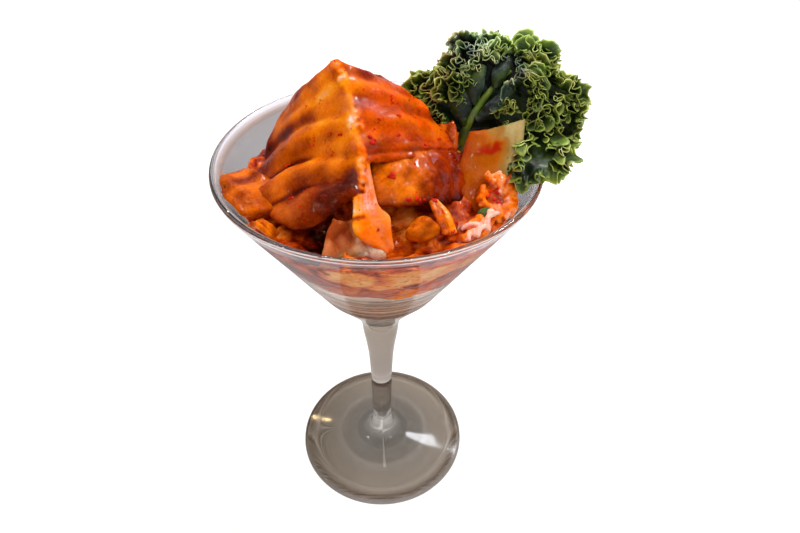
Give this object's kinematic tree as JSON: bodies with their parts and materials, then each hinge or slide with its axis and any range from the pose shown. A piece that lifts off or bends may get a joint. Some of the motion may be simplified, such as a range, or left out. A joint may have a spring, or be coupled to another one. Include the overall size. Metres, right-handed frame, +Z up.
{
  "type": "cabbage kimchi in a stemmed cocktail glass",
  "caption": "Cabbage kimchi heaped in a clear stemmed cocktail glass, a folded leaf on top and a curly kale leaf over the rim.",
  "frame": {"origin": "centre of the underside of the glass foot, on the surface it stands on", "axes": "+Z up along the stem; -Y towards the diner, whom the folded leaf faces; +X towards the kale leaf"},
  "size_m": [0.1263, 0.11, 0.1932],
  "materials": {
    "clear_glass": "clear polished glass",
    "cabbage_leaf": "wet translucent cabbage leaf stained orange by chili",
    "cabbage_stalk": "wet pale translucent cabbage rib",
    "seasoned_cabbage": "wet shreds in red chili seasoning",
    "green_onion": "wet cut green onion",
    "kale": "waxy crinkled green leaf with paler margin"
  },
  "bodies": {
    "root": {"cocktail_glass": "clear_glass", "kimchi_bed": "seasoned_cabbage", "folded_leaf": "cabbage_leaf", "under_leaf": "cabbage_leaf", "back_leaf": "cabbage_leaf", "pale_leaf_base": "cabbage_stalk", "rim_leaf": "cabbage_leaf", "leaf_curl": "cabbage_leaf", "cabbage_stalk": "cabbage_stalk", "leaf_tab": "cabbage_leaf", "leaf_strip": "cabbage_leaf", "leaf_chunk": "cabbage_leaf", "seasoning_clump": "seasoned_cabbage", "pale_chunk": "cabbage_stalk", "green_onion": "green_onion", "kale_leaf": "kale"}
  },
  "joints": []
}
